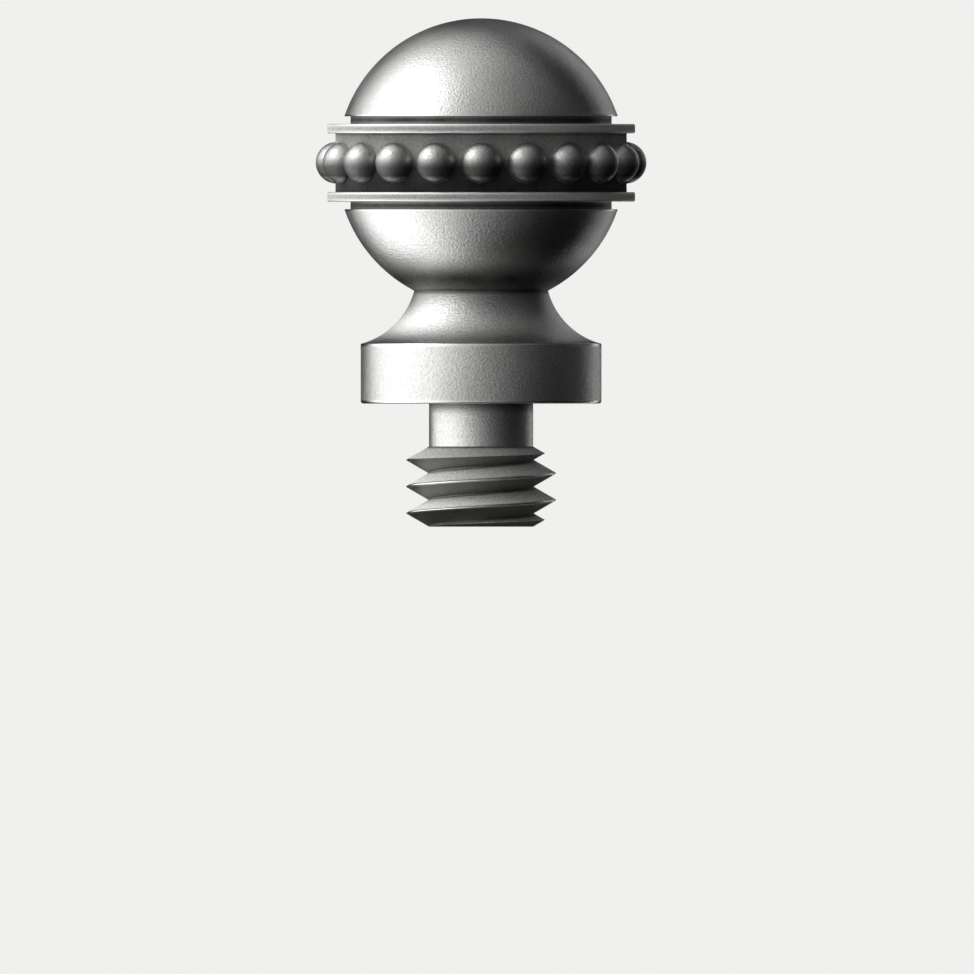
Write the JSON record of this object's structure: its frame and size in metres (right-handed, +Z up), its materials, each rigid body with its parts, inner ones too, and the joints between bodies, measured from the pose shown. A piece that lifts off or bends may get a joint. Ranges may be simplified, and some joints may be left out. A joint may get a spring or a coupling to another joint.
{
  "type": "ball finial",
  "caption": "Ball finial with a beaded band round its middle, a coved base drum and a short threaded stud, turned from solid metal to cap the end of a hinge barrel or post.",
  "frame": {"origin": "middle of the stud's flat end, which the finial stands on", "axes": "+Z up the finial's axis, from the stud to the top of the ball, and -Y towards the side with a bead in its middle"},
  "size_m": [0.0174, 0.0174, 0.0268],
  "materials": {
    "plated_brass": "satin"
  },
  "bodies": {
    "root": {"ball_finial": "plated_brass"}
  },
  "joints": []
}
